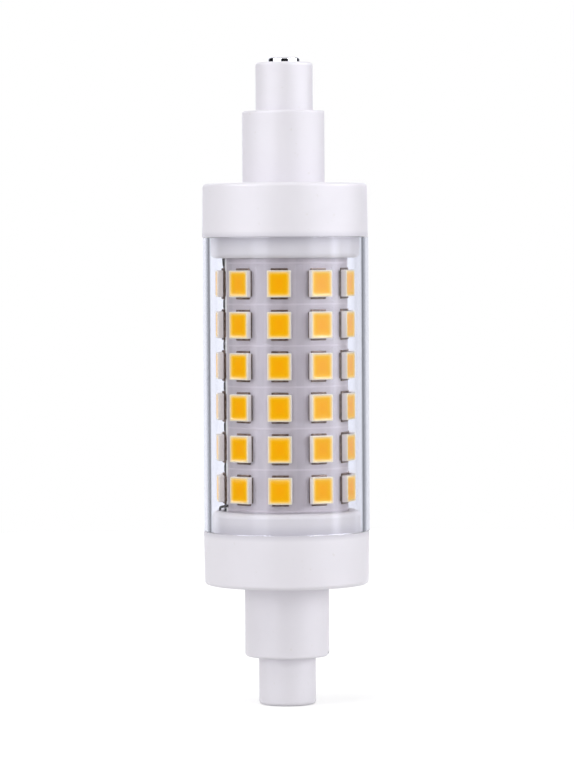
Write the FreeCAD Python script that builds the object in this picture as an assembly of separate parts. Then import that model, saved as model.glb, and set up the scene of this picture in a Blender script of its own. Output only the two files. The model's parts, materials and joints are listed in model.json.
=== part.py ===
"""Double-ended linear LED lamp with ceramic end caps, a clear tube and a rolled LED board.

Millimetres. The lamp stands on its lower end: +Z runs up the lamp's axis, the origin is on that
axis at the lower rim, and the front of the lamp faces -Y. Angles round the lamp are in degrees,
0 at the front and positive towards +X.
"""
import FreeCAD, Part
import math
import os

# End caps, measured from the outer rim inwards
END_DIA = 6.9
END_LENGTH = 5.85
END_EDGE = 0.4
NECK_DIA = 10.2
NECK_LENGTH = 8.7
NECK_EDGE = 0.3
NECK_FLAT_DEPTH = 0.3
UPPER_FLAT_ANGLE = 90.0
LOWER_FLAT_ANGLE = 180.0
CAP_RIM_DIA = 20.0
CAP_TAPER = 0.1
CAP_LENGTH = 6.4
CAP_EDGE = 0.45
SPIGOT_LENGTH = 2.55
SPIGOT_EDGE = 0.65

# Small nick in the outer corner of the lower neck
NICK_ANGLE = 84.0
NICK_DEPTH = 0.3
NICK_HEIGHT = 0.55
NICK_WIDTH = 2.0

# Hollow inside of the end caps
WEB_THICKNESS = 1.7
NECK_FLOOR = 1.4
NECK_WALL = 1.6
CAP_FLOOR = 1.4
SEAT_DEPTH = 1.0
SEAT_LIP = 0.05
SLOT_OVERRUN = 0.6

# Contacts
CONTACT_DIA = 3.8
CONTACT_LENGTH = 3.2
CONTACT_EDGE = 0.3
UPPER_CONTACT_PROUD = 0.6
LOWER_CONTACT_PROUD = -0.4
SHANK_DIA = 1.6
SHANK_BEYOND_WEB = 0.7

# Clear tube, flush with the rims of the caps
TUBE_WALL = 0.83
TUBE_EDGE = 0.12
TUBE_PLAY_USED = 0.06

# Rolled board and its former
BOARD_THICKNESS = 0.3
BOARD_SHOWN = 30.4
SEAM_ANGLE = -99.0
SEAM_WIDTH = 0.3
CORE_WALL = 0.8

# LED packages
COLUMN_COUNT = 10
ROW_COUNT = 6
FIRST_ROW_TO_COLLAR = 2.75
ROW_PITCH = 4.92
FIRST_COLUMN_ANGLE = -41.0
COLUMN_PITCH = 35.8
PACKAGE_WIDTH = 2.8
PACKAGE_HEIGHT = 3.2
PACKAGE_THICKNESS = 0.7
WINDOW_FRAME = 0.2
WINDOW_DEPTH = 0.35
WINDOW_SLOPE = 0.2
WINDOW_CORNER = 0.35
FILL_DROP = 0.03
TERMINAL_WIDTH = 2.0
TERMINAL_LENGTH = 0.9
TERMINAL_BEYOND_BODY = 0.25
TERMINAL_THICKNESS = 0.12

# Driver board and what it carries
DRIVER_THICKNESS = 1.0
DRIVER_SETBACK = 1.7
RECTIFIER_SIZE = (4.0, 1.7, 4.8)
RECTIFIER_LEGS = 2
RECTIFIER_LEG_PITCH = 2.5
CHIP_SIZE = (3.9, 1.5, 4.9)
CHIP_LEGS = 4
CHIP_LEG_PITCH = 1.27
LEG_WIDTH = 0.45
LEG_THICKNESS = 0.2
LEG_REACH = 0.9
INDUCTOR_DIA = 5.0
INDUCTOR_TO_BORE = 2.15
INDUCTOR_FLANGE = 0.7
INDUCTOR_WAIST_DIA = 3.6
SMOOTHER_TO_BORE = 1.75
SMOOTHER_LENGTH = 8.0
SMOOTHER_GROOVE = 0.25
SMOOTHER_GROOVE_UP = 1.2
FILM_TO_BORE_SIDE = 2.85
FILM_TO_BORE_FRONT = 2.55
FILM_LENGTH = 6.0
RESISTOR_DIA = 2.3
RESISTOR_LENGTH = 5.0
COMPONENT_WIRE_DIA = 0.5
WIRE_END_LENGTH = 0.8
SENSE_SIZE = (1.25, 0.5, 2.0)
SENSE_COUNT = 3
SENSE_PITCH = 2.2
COMPONENT_GAP = 0.5
SIDE_GAP = 1.0
CHIP_ABOVE_MIDDLE = 3.4
SENSE_BELOW_MIDDLE = 4.0

# Leads
LEAD_DIA = 0.8
LEAD_LAP = 3.0
BOARD_LEAD_DIA = 0.3
BOARD_LEAD_BEND = 0.4
LOWER_LEAD_START_ANGLE = -65.5
LOWER_LEAD_SLOT_ANGLE = -83.0
UPPER_LEAD_START_ANGLE = 165.0
UPPER_LEAD_SLOT_ANGLE = 180.0
LEAD_START_ABOVE_COLLAR = 0.75
LEAD_BEND_ABOVE_COLLAR = 0.4
LEAD_OUT = 0.55
LEAD_BELOW_SEAT = 0.9
LEAD_TURN_IN = 1.2
BOARD_LEAD_LAP = 2.5
BOARD_LEAD_SIDE = 2.0

# Clearances
CONTACT_CLEARANCE = 0.05
SHANK_CLEARANCE = 0.05
SPIGOT_CLEARANCE = 0.17
SOCKET_CLEARANCE = 0.1
PACKAGE_TO_TUBE = 0.83
END_CLEARANCE = 0.05
BOND_GAP = 0.05
SOLDER_GAP = 0.02
DRIVER_CLEARANCE = 0.1
SLOT_CLEARANCE = 0.2

# Heights along an end cap, from its outer rim inwards
NECK_START = END_LENGTH
CAP_START = NECK_START + NECK_LENGTH
SHOULDER = CAP_START + CAP_LENGTH
COLLAR_EDGE = SHOULDER + SPIGOT_LENGTH
SEAT = SHOULDER - SEAT_DEPTH

# Lengths and heights of the whole lamp
BODY_LENGTH = 2 * COLLAR_EDGE + BOARD_SHOWN
MIDDLE = BODY_LENGTH / 2
FIRST_ROW = COLLAR_EDGE + FIRST_ROW_TO_COLLAR

# Radii of the tube and the caps, from the rim inwards
TUBE_RADIUS = CAP_RIM_DIA / 2
TUBE_BORE_RADIUS = TUBE_RADIUS - TUBE_WALL
SPIGOT_RADIUS = TUBE_BORE_RADIUS - SPIGOT_CLEARANCE
NECK_CAVITY_RADIUS = NECK_DIA / 2 - NECK_WALL
CONTACT_BORE_RADIUS = CONTACT_DIA / 2 + CONTACT_CLEARANCE

# Distances of the packages, the board and its former from the axis
PACKAGE_FACE = TUBE_BORE_RADIUS - PACKAGE_TO_TUBE
PACKAGE_BASE = PACKAGE_FACE - PACKAGE_THICKNESS
TERMINAL_BASE = PACKAGE_BASE - TERMINAL_THICKNESS
BOARD_RADIUS = TERMINAL_BASE - SOLDER_GAP
CORE_RADIUS = BOARD_RADIUS - BOARD_THICKNESS - BOND_GAP
CORE_BORE_RADIUS = CORE_RADIUS - CORE_WALL
SOCKET_RADIUS = BOARD_RADIUS + SOCKET_CLEARANCE
CAVITY_RADIUS = CORE_BORE_RADIUS - SEAT_LIP
LEAD_SLOT_RADIUS = BOARD_RADIUS + LEAD_OUT
BOARD_LEAD_RADIUS = BOARD_LEAD_DIA / 2

# Planes of the driver board, which the leads on the axis lie against
DRIVER_FRONT = LEAD_DIA / 2 + SOLDER_GAP
DRIVER_BACK = DRIVER_FRONT + DRIVER_THICKNESS
DRIVER_HALF_WIDTH = math.sqrt((CORE_BORE_RADIUS - DRIVER_CLEARANCE) ** 2 - DRIVER_BACK ** 2)
DRIVER_BOTTOM = SEAT + DRIVER_SETBACK
DRIVER_LENGTH = BODY_LENGTH - 2 * DRIVER_BOTTOM

# What stands on the front of the driver board, out towards the bore of the former
FRONT_BASE = DRIVER_FRONT - SOLDER_GAP
INDUCTOR_HEIGHT = CORE_BORE_RADIUS - INDUCTOR_TO_BORE + FRONT_BASE
SMOOTHER_DIA = CORE_BORE_RADIUS - SMOOTHER_TO_BORE + FRONT_BASE
FILM_WIDTH = CORE_BORE_RADIUS - FILM_TO_BORE_SIDE - SIDE_GAP / 2
FILM_DEPTH = CORE_BORE_RADIUS - FILM_TO_BORE_FRONT + FRONT_BASE

# Heights of the components on the front of the driver board, from the lower lead up
SMOOTHER_BOTTOM = DRIVER_BOTTOM + LEAD_LAP + COMPONENT_GAP
INDUCTOR_BOTTOM = SMOOTHER_BOTTOM + SMOOTHER_LENGTH + COMPONENT_GAP
RECTIFIER_BOTTOM = INDUCTOR_BOTTOM + INDUCTOR_DIA + COMPONENT_GAP
SIDE_PAIR_BOTTOM = RECTIFIER_BOTTOM + RECTIFIER_SIZE[2] + COMPONENT_GAP

Z_AXIS = FreeCAD.Vector(0, 0, 1)
ORIGIN = FreeCAD.Vector(0, 0, 0)
FULL_TURN = 360.0


# General shapes

def polar(radius, angle, height):
    """A point at a radius and an angle round the lamp."""
    turn = math.radians(angle)
    return FreeCAD.Vector(radius * math.sin(turn), -radius * math.cos(turn), height)


def cylinder(radius, bottom, top):
    """An upright cylinder on the lamp's axis."""
    return Part.makeCylinder(radius, top - bottom, FreeCAD.Vector(0, 0, bottom))


def block(x_size, y_size, z_size, x_low, y_low, z_low):
    """A box from its sizes and its lowest corner."""
    return Part.makeBox(x_size, y_size, z_size, FreeCAD.Vector(x_low, y_low, z_low))


def turned_about_axis(shape, angle):
    """A copy of a front-facing shape, turned to an angle round the lamp."""
    copy = shape.copy()
    copy.rotate(ORIGIN, Z_AXIS, angle)
    return copy


def other_end(shape):
    """A copy of a lower-end shape as it lies at the upper end, with its front kept in front."""
    return shape.mirror(FreeCAD.Vector(0, 0, MIDDLE), Z_AXIS)


def corner_edges(corners, closed):
    """Straight edges through the corners, each (point, rounding), with a tangent arc at each rounding."""
    count = len(corners)
    starts = []
    ends = []
    arcs = []
    for index, (point, rounding) in enumerate(corners):
        is_end = not closed and index in (0, count - 1)
        if rounding == 0 or is_end:
            starts.append(point)
            ends.append(point)
            continue
        before = (corners[index - 1][0] - point).normalize()
        after = (corners[(index + 1) % count][0] - point).normalize()
        half_angle = before.getAngle(after) / 2
        reach = rounding / math.tan(half_angle)
        bisector = (before + after).normalize()
        centre = point + bisector * (rounding / math.sin(half_angle))
        arc_start = point + before * reach
        arc_end = point + after * reach
        arcs.append(Part.Arc(arc_start, centre - bisector * rounding, arc_end).toShape())
        starts.append(arc_start)
        ends.append(arc_end)
    edges = list(arcs)
    last = count if closed else count - 1
    for index in range(last):
        run_start = ends[index]
        run_end = starts[(index + 1) % count]
        edges.append(Part.LineSegment(run_start, run_end).toShape())
    return Part.Wire(Part.__sortEdges__(edges))


def turned_solid(profile):
    """A solid of revolution from the (radius, height, rounding) corners of its closed section."""
    corners = [(FreeCAD.Vector(radius, 0, height), rounding) for radius, height, rounding in profile]
    wire = corner_edges(corners, True)
    return Part.Face(wire).revolve(ORIGIN, Z_AXIS, FULL_TURN)


def rounded_rectangle(width, height, corner, outward, middle):
    """An upright rounded rectangle that faces the front, at a distance from the axis."""
    half_width = width / 2
    half_height = height / 2
    spots = [(-1, -1), (1, -1), (1, 1), (-1, 1)]
    corners = []
    for side, level in spots:
        point = FreeCAD.Vector(side * half_width, -outward, middle + level * half_height)
        corners.append((point, corner))
    return corner_edges(corners, True)


def bent_wire(points, diameter, bend):
    """A round wire along straight runs that are joined by tangent arcs."""
    corners = [(point, bend) for point in points]
    path = corner_edges(corners, False)
    direction = points[1] - points[0]
    section = Part.Wire(Part.Circle(points[0], direction, diameter / 2).toShape())
    return path.makePipeShell([section], True, False)


# End caps and contacts

def end_cap_outside():
    """The outer form of an end cap, as the lower one stands."""
    end_radius = END_DIA / 2
    neck_radius = NECK_DIA / 2
    return turned_solid([
        (0, 0, 0),
        (end_radius, 0, END_EDGE),
        (end_radius, NECK_START, 0),
        (neck_radius, NECK_START, NECK_EDGE),
        (neck_radius, CAP_START, 0),
        (TUBE_RADIUS - CAP_TAPER, CAP_START, CAP_EDGE),
        (TUBE_RADIUS, SHOULDER, 0),
        (SPIGOT_RADIUS, SHOULDER, 0),
        (SPIGOT_RADIUS, COLLAR_EDGE, SPIGOT_EDGE),
        (0, COLLAR_EDGE, 0),
    ])


def end_cap_hollow(contact_seat):
    """The bores of an end cap, from the contact bore to the socket for the board."""
    web_end = contact_seat + WEB_THICKNESS
    neck_floor = NECK_START + NECK_FLOOR
    cap_floor = CAP_START + CAP_FLOOR
    bores = [
        (CONTACT_BORE_RADIUS, 0, contact_seat),
        (SHANK_DIA / 2 + SHANK_CLEARANCE, contact_seat, web_end),
        (CONTACT_BORE_RADIUS, web_end, neck_floor),
        (NECK_CAVITY_RADIUS, neck_floor, cap_floor),
        (CAVITY_RADIUS, cap_floor, SEAT),
        (SOCKET_RADIUS, SEAT, COLLAR_EDGE),
    ]
    solids = [cylinder(radius, bottom, top) for radius, bottom, top in bores]
    return solids[0].multiFuse(solids[1:])


def neck_flat(angle):
    """What is cut off the neck to leave its flat, at an angle round the lamp."""
    neck_radius = NECK_DIA / 2
    slab = block(NECK_DIA, NECK_FLAT_DEPTH, NECK_LENGTH, -neck_radius, -neck_radius, NECK_START)
    return turned_about_axis(slab, angle)


def lead_slot(angle):
    """The slot that lets a board lead pass the socket and the seat of an end cap."""
    width = BOARD_LEAD_DIA + 2 * SLOT_CLEARANCE
    outer = LEAD_SLOT_RADIUS + BOARD_LEAD_RADIUS + SLOT_CLEARANCE
    inner = CAVITY_RADIUS - SLOT_OVERRUN
    bottom = SEAT - LEAD_BELOW_SEAT - BOARD_LEAD_RADIUS - SLOT_CLEARANCE
    slot = block(width, outer - inner, COLLAR_EDGE - bottom, -width / 2, -outer, bottom)
    return turned_about_axis(slot, angle)


def neck_nick():
    """The small nick in the corner of the lower neck."""
    neck_radius = NECK_DIA / 2
    nick = block(NICK_WIDTH, NICK_DEPTH, NICK_HEIGHT, -NICK_WIDTH / 2, -neck_radius, NECK_START)
    return turned_about_axis(nick, NICK_ANGLE)


def end_cap(contact_proud, flat_angle, slot_angle):
    """One ceramic end cap, as it stands at the lower end."""
    contact_seat = CONTACT_LENGTH - contact_proud
    cap = end_cap_outside()
    for cut in (end_cap_hollow(contact_seat), neck_flat(flat_angle), lead_slot(slot_angle)):
        cap = cap.cut(cut)
    return cap


def contact(contact_proud):
    """A contact button with its shank, as it stands at the lower end."""
    radius = CONTACT_DIA / 2
    shank_radius = SHANK_DIA / 2
    face = -contact_proud
    seat = face + CONTACT_LENGTH
    shank_end = seat + WEB_THICKNESS + SHANK_BEYOND_WEB
    return turned_solid([
        (0, face, 0),
        (radius, face, CONTACT_EDGE),
        (radius, seat, 0),
        (shank_radius, seat, 0),
        (shank_radius, shank_end, 0),
        (0, shank_end, 0),
    ])


def contact_lead(contact_proud):
    """The lead from a contact's shank to the driver board, as it stands at the lower end."""
    start = CONTACT_LENGTH - contact_proud + WEB_THICKNESS + SHANK_BEYOND_WEB
    return cylinder(LEAD_DIA / 2, start, DRIVER_BOTTOM + LEAD_LAP)


# Tube, board and former

def clear_tube():
    """The clear tube, pushed sideways within its play on the spigots."""
    bottom = SHOULDER + END_CLEARANCE
    top = BODY_LENGTH - bottom
    tube = turned_solid([
        (TUBE_BORE_RADIUS, bottom, TUBE_EDGE),
        (TUBE_RADIUS, bottom, TUBE_EDGE),
        (TUBE_RADIUS, top, TUBE_EDGE),
        (TUBE_BORE_RADIUS, top, TUBE_EDGE),
    ])
    tube.translate(FreeCAD.Vector(TUBE_PLAY_USED, 0, 0))
    return tube


def core_tube():
    """The former that the board is rolled on."""
    bottom = SEAT + END_CLEARANCE
    top = BODY_LENGTH - bottom
    return cylinder(CORE_RADIUS, bottom, top).cut(cylinder(CORE_BORE_RADIUS, bottom, top))


def led_board():
    """The flexible board, rolled until its edges nearly meet at the seam."""
    bottom = SEAT + END_CLEARANCE
    top = BODY_LENGTH - bottom
    inner = BOARD_RADIUS - BOARD_THICKNESS
    board = cylinder(BOARD_RADIUS, bottom, top).cut(cylinder(inner, bottom, top))
    seam = block(SEAM_WIDTH, BOARD_RADIUS, top - bottom, -SEAM_WIDTH / 2, -BOARD_RADIUS, bottom)
    return board.cut(turned_about_axis(seam, SEAM_ANGLE))


# LED packages

def row_heights():
    """The height of each row's middle, from the lowest row up."""
    return [FIRST_ROW + ROW_PITCH * row for row in range(ROW_COUNT)]


def column_angles():
    """The angle of each column, from the first one left of the front round to the right."""
    return [FIRST_COLUMN_ANGLE + COLUMN_PITCH * column for column in range(COLUMN_COUNT)]


def window(middle, drop):
    """The sloping window of a front-facing package, its mouth let down by a drop."""
    width = PACKAGE_WIDTH - 2 * WINDOW_FRAME
    height = PACKAGE_HEIGHT - 2 * WINDOW_FRAME
    slope_share = drop / WINDOW_DEPTH
    mouth_inset = 2 * WINDOW_SLOPE * slope_share
    floor_inset = 2 * WINDOW_SLOPE
    mouth = rounded_rectangle(
        width - mouth_inset, height - mouth_inset, WINDOW_CORNER, PACKAGE_FACE - drop, middle)
    floor = rounded_rectangle(
        width - floor_inset, height - floor_inset, WINDOW_CORNER, PACKAGE_FACE - WINDOW_DEPTH, middle)
    return Part.makeLoft([floor, mouth], True, True)


def package_body(middle):
    """One moulded package that faces the front, with its window."""
    body = block(
        PACKAGE_WIDTH, PACKAGE_THICKNESS, PACKAGE_HEIGHT,
        -PACKAGE_WIDTH / 2, -PACKAGE_FACE, middle - PACKAGE_HEIGHT / 2)
    return body.cut(window(middle, 0))


def package_fill(middle):
    """The phosphor in one package's window."""
    return window(middle, FILL_DROP)


def package_terminals(middle):
    """The two metal terminals under one package's ends."""
    reach = PACKAGE_HEIGHT / 2 + TERMINAL_BEYOND_BODY
    plates = []
    for low in (middle - reach, middle + reach - TERMINAL_LENGTH):
        plates.append(block(
            TERMINAL_WIDTH, TERMINAL_THICKNESS, TERMINAL_LENGTH,
            -TERMINAL_WIDTH / 2, -TERMINAL_BASE - TERMINAL_THICKNESS, low))
    return Part.makeCompound(plates)


def column(make_one, angle):
    """One column of like pieces at an angle round the lamp."""
    pieces = Part.makeCompound([make_one(middle) for middle in row_heights()])
    return turned_about_axis(pieces, angle)


# Driver board and its components

def driver_board():
    """The driver board, standing in the former."""
    return block(
        2 * DRIVER_HALF_WIDTH, DRIVER_THICKNESS, DRIVER_LENGTH,
        -DRIVER_HALF_WIDTH, DRIVER_FRONT, DRIVER_BOTTOM)


def leg_pair(size, height, face, outward):
    """Two bent legs at a height, one on each side of a chip that sits on a face of the driver board."""
    width, thickness, _ = size
    legs = []
    foot_low = min(face, face + outward * LEG_THICKNESS)
    drop = thickness / 2 - SOLDER_GAP
    drop_low = min(face, face + outward * drop)
    for side in (-1, 1):
        root = side * width / 2
        foot_x = min(root, root + side * LEG_REACH)
        post_x = min(root, root + side * LEG_THICKNESS)
        foot = block(LEG_REACH, LEG_THICKNESS, LEG_WIDTH, foot_x, foot_low, height - LEG_WIDTH / 2)
        post = block(LEG_THICKNESS, drop, LEG_WIDTH, post_x, drop_low, height - LEG_WIDTH / 2)
        legs.append(foot.fuse(post))
    return legs


def chip(size, legs_each_side, leg_pitch, height, face, outward):
    """A flat moulded chip with legs on both sides, as one piece."""
    width, thickness, length = size
    near = face + outward * SOLDER_GAP
    low = min(near, near + outward * thickness)
    piece = block(width, thickness, length, -width / 2, low, height - length / 2)
    first = height - leg_pitch * (legs_each_side - 1) / 2
    for number in range(legs_each_side):
        piece = piece.multiFuse(leg_pair(size, first + number * leg_pitch, face, outward))
    return piece.removeSplitter()


def inductor():
    """A drum-wound inductor that stands on the front of the driver board."""
    radius = INDUCTOR_DIA / 2
    height = INDUCTOR_BOTTOM + radius
    waist = INDUCTOR_WAIST_DIA / 2
    outward = FreeCAD.Vector(0, -1, 0)
    sections = [
        (radius, 0, INDUCTOR_FLANGE),
        (waist, INDUCTOR_FLANGE, INDUCTOR_HEIGHT - 2 * INDUCTOR_FLANGE),
        (radius, INDUCTOR_HEIGHT - INDUCTOR_FLANGE, INDUCTOR_FLANGE),
    ]
    drums = []
    for drum_radius, start, length in sections:
        drums.append(Part.makeCylinder(
            drum_radius, length, FreeCAD.Vector(0, FRONT_BASE - start, height), outward))
    return drums[0].multiFuse(drums[1:])


def smoothing_capacitor():
    """A sleeved capacitor lying along the driver board, with the groove that holds its seal."""
    radius = SMOOTHER_DIA / 2
    top = SMOOTHER_BOTTOM + SMOOTHER_LENGTH
    groove = SMOOTHER_BOTTOM + SMOOTHER_GROOVE_UP
    can = turned_solid([
        (0, SMOOTHER_BOTTOM, 0),
        (radius, SMOOTHER_BOTTOM, SMOOTHER_GROOVE),
        (radius, groove - SMOOTHER_GROOVE, 0),
        (radius - SMOOTHER_GROOVE, groove, 0),
        (radius, groove + SMOOTHER_GROOVE, 0),
        (radius, top, SMOOTHER_GROOVE),
        (0, top, 0),
    ])
    can.translate(FreeCAD.Vector(0, FRONT_BASE - radius, 0))
    return can


def film_capacitor():
    """The boxed capacitor across the supply, on the left of the driver board."""
    return block(
        FILM_WIDTH, FILM_DEPTH, FILM_LENGTH,
        -SIDE_GAP / 2 - FILM_WIDTH, FRONT_BASE - FILM_DEPTH, SIDE_PAIR_BOTTOM)


def fusible_resistor():
    """The axial fusible resistor on the right of the driver board, with its bent ends."""
    half = RESISTOR_LENGTH / 2
    wire_radius = COMPONENT_WIRE_DIA / 2
    middle = SIDE_PAIR_BOTTOM + wire_radius + WIRE_END_LENGTH + half
    axis_x = SIDE_GAP / 2 + RESISTOR_DIA / 2
    axis_y = FRONT_BASE - RESISTOR_DIA / 2
    body = Part.makeCylinder(
        RESISTOR_DIA / 2, RESISTOR_LENGTH, FreeCAD.Vector(axis_x, axis_y, middle - half))
    pieces = []
    for side in (-1, 1):
        tip = middle + side * (half + WIRE_END_LENGTH)
        points = [
            FreeCAD.Vector(axis_x, axis_y, middle + side * (half - wire_radius)),
            FreeCAD.Vector(axis_x, axis_y, tip),
            FreeCAD.Vector(axis_x, FRONT_BASE, tip),
        ]
        pieces.append(bent_wire(points, COMPONENT_WIRE_DIA, COMPONENT_WIRE_DIA))
    return body.multiFuse(pieces)


def sense_resistors():
    """The small flat resistors on the back of the driver board."""
    width, thickness, length = SENSE_SIZE
    first = -SENSE_PITCH * (SENSE_COUNT - 1) / 2
    pieces = []
    for number in range(SENSE_COUNT):
        x_low = first + number * SENSE_PITCH - width / 2
        pieces.append(block(
            width, thickness, length,
            x_low, DRIVER_BACK + SOLDER_GAP, MIDDLE - SENSE_BELOW_MIDDLE - length / 2))
    return Part.makeCompound(pieces)


def board_lead(start_angle, slot_angle, side):
    """A lead from the LED board through an end cap's slot to the driver board, at the lower end."""
    start_radius = BOARD_RADIUS + BOARD_LEAD_RADIUS + SOLDER_GAP
    start = COLLAR_EDGE + LEAD_START_ABOVE_COLLAR
    below = SEAT - LEAD_BELOW_SEAT
    landing_x = side * BOARD_LEAD_SIDE
    landing_y = DRIVER_BACK + SOLDER_GAP + BOARD_LEAD_RADIUS
    points = [
        polar(start_radius, start_angle, start),
        polar(LEAD_SLOT_RADIUS, slot_angle, COLLAR_EDGE + LEAD_BEND_ABOVE_COLLAR),
        polar(LEAD_SLOT_RADIUS, slot_angle, below),
        polar(CAVITY_RADIUS - LEAD_TURN_IN, slot_angle, below),
        FreeCAD.Vector(landing_x, landing_y, below),
        FreeCAD.Vector(landing_x, landing_y, DRIVER_BOTTOM + BOARD_LEAD_LAP),
    ]
    return bent_wire(points, BOARD_LEAD_DIA, BOARD_LEAD_BEND)


def all_nodes():
    """Every piece of the lamp by its node's name."""
    nodes = {
        "lower_end_cap": end_cap(
            LOWER_CONTACT_PROUD, LOWER_FLAT_ANGLE, LOWER_LEAD_SLOT_ANGLE).cut(neck_nick()),
        "upper_end_cap": other_end(end_cap(
            UPPER_CONTACT_PROUD, UPPER_FLAT_ANGLE, UPPER_LEAD_SLOT_ANGLE)),
        "lower_contact": contact(LOWER_CONTACT_PROUD),
        "upper_contact": other_end(contact(UPPER_CONTACT_PROUD)),
        "lower_lead": contact_lead(LOWER_CONTACT_PROUD),
        "upper_lead": other_end(contact_lead(UPPER_CONTACT_PROUD)),
        "clear_tube": clear_tube(),
        "core_tube": core_tube(),
        "led_board": led_board(),
        "driver_board": driver_board(),
        "bridge_rectifier": chip(
            RECTIFIER_SIZE, RECTIFIER_LEGS, RECTIFIER_LEG_PITCH,
            RECTIFIER_BOTTOM + RECTIFIER_SIZE[2] / 2, FRONT_BASE, -1),
        "driver_chip": chip(
            CHIP_SIZE, CHIP_LEGS, CHIP_LEG_PITCH,
            MIDDLE + CHIP_ABOVE_MIDDLE, DRIVER_BACK + SOLDER_GAP, 1),
        "inductor": inductor(),
        "smoothing_capacitor": smoothing_capacitor(),
        "film_capacitor": film_capacitor(),
        "fusible_resistor": fusible_resistor(),
        "sense_resistors": sense_resistors(),
        "board_lead_lower": board_lead(LOWER_LEAD_START_ANGLE, LOWER_LEAD_SLOT_ANGLE, -1),
        "board_lead_upper": other_end(board_lead(UPPER_LEAD_START_ANGLE, UPPER_LEAD_SLOT_ANGLE, 1)),
    }
    for number, angle in enumerate(column_angles(), start=1):
        nodes[f"led_column_{number}"] = column(package_body, angle)
        nodes[f"phosphor_column_{number}"] = column(package_fill, angle)
        nodes[f"led_terminals_{number}"] = column(package_terminals, angle)
    return nodes


def main():
    os.makedirs("parts", exist_ok=True)
    for name, shape in all_nodes().items():
        if not shape.isValid():
            raise ValueError(f"{name} is not a valid shape")
        shape.exportStep(f"parts/{name}.step")


main()
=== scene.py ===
"""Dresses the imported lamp: studio, camera, materials, and the pieces that are finer than the solids.

Metres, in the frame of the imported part: +Z up the lamp's axis, the front towards -Y. Sizes below are
in millimetres and are turned to metres where points are placed. Angles round the lamp are in degrees,
0 at the front and positive towards +X.
"""
import json
import math

import bmesh
import bpy
from mathutils import Matrix, Vector


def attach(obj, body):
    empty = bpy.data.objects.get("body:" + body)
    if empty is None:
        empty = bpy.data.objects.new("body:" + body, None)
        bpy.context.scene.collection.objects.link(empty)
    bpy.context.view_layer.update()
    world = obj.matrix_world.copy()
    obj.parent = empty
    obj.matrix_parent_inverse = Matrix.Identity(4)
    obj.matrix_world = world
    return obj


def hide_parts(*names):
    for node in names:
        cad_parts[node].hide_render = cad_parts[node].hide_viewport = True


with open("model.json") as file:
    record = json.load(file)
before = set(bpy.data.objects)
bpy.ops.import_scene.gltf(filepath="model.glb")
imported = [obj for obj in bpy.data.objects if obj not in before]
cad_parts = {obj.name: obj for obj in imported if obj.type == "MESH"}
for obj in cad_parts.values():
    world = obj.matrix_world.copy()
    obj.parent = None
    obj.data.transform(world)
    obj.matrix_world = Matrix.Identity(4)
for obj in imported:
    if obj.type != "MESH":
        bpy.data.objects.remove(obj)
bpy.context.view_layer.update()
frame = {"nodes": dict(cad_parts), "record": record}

MM = 0.001
BODY = "root"

# Steps round each corner of a rounded rectangle
CORNER_STEPS = 4

# Camera, fitted to the edges of the caps, the tube and the ends. Its clip distances are in metres
CAMERA_PLACE = (0.143, -450.0, 54.84)
CAMERA_PITCH = 2.033
CAMERA_ROLL = -0.331
CAMERA_LENS = 175.54
SENSOR_WIDTH = 36.0
CAMERA_NEAR = 0.01
CAMERA_FAR = 20.0

# Columns and rows of LED packages
COLUMNS = 10
ROWS = 6
FIRST_COLUMN_ANGLE = -41.0
COLUMN_PITCH = 35.8
FIRST_ROW = 26.25
ROW_PITCH = 4.92

# One package: its foot is drawn in, its sides have a little draft and its face has a window
PACKAGE_WIDTH = 2.8
PACKAGE_HEIGHT = 3.2
PACKAGE_BASE = 7.64
PACKAGE_FACE = 8.34
PACKAGE_CORNER = 0.1
PACKAGE_EDGE = 0.06
PACKAGE_EDGE_DROP = 0.018
UNDERCUT = 0.3
UNDERCUT_RISE = 0.09
DRAFT = 0.015
DRAFT_FROM = 0.34
WINDOW_FRAME = 0.2
WINDOW_CORNER = 0.35
WINDOW_DEPTH = 0.35
WINDOW_SLOPE = 0.2
WINDOW_LIP = 0.03
WINDOW_LIP_DROP = 0.02

# The fill in a window. Its profile is (distance in from the rim, drop below the rim)
FILL_CLEARANCE = 0.004
FILL_RIM_DROP = 0.022
FILL_PROFILE = [
    (0.0, 0.0), (0.06, 0.012), (0.14, 0.022), (0.26, 0.03), (0.42, 0.035), (0.65, 0.038), (0.95, 0.04)]
FILL_MIDDLE_DROP = 0.04
FILL_CORNER_SHRINK = 0.4
FILL_CORNER_LEAST = 0.06
FILL_CORNER_ROOM = 0.01
FILL_FADE = 0.9

# The pad under a package, with a notch (across, up) round each terminal. It reaches close to the package's
# sides, where its dark side is a painted shade under their edges
PAD_OUT = 1.3
PAD_REACH = 1.5
PAD_NOTCH = (1.04, 0.92)
PAD_INTO_PACKAGE = 0.02

# The terminals. Their profile is (distance in from the outline, drop below the top)
TERMINAL_WIDTH = 2.0
TERMINAL_LENGTH = 0.9
TERMINAL_BEYOND_BODY = 0.25
TERMINAL_CORNER = 0.08
TERMINAL_TO_PACKAGE = 0.004
TERMINAL_PROFILE = [(0.0, 0.07), (0.012, 0.03), (0.035, 0.008), (0.09, 0.0)]

# Board, and the heights of the collars that it shows between
BOARD_RADIUS = 7.5
BOARD_LIFT = 0.005
COLLAR_LOW = 23.5
COLLAR_HIGH = 53.9

# The board's seam: a bare margin, and a cut edge that stands up between the rows and under the upper cap
MARGIN_ANGLES = [-66.5, -68.2, -70.0, -71.5]
CUT_EDGE_ANGLES = [-72.4, -73.2, -74.2]
SEAM_STEPS = 150
SEAM_TO_COLLAR = 0.03
SEAM_INNER = 0.002
SEAM_OUTER = 0.012
SEAM_STAND = 0.15
SEAM_RAMP = 0.2
SEAM_LIFT = 0.10
SEAM_LIFT_LENGTH = 1.2

# Tube. It sits a little off the axis, towards +X
TUBE_RADIUS = 10.0
TUBE_BORE = 9.17
TUBE_EDGE = 0.05
TUBE_EDGE_STEPS = 4
TUBE_EDGE_SUPPORT = 0.04
TUBE_SHIFT = 0.06
TUBE_LOW = 21.0
TUBE_HIGH = 56.4
TUBE_SEGMENTS = 288

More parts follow.
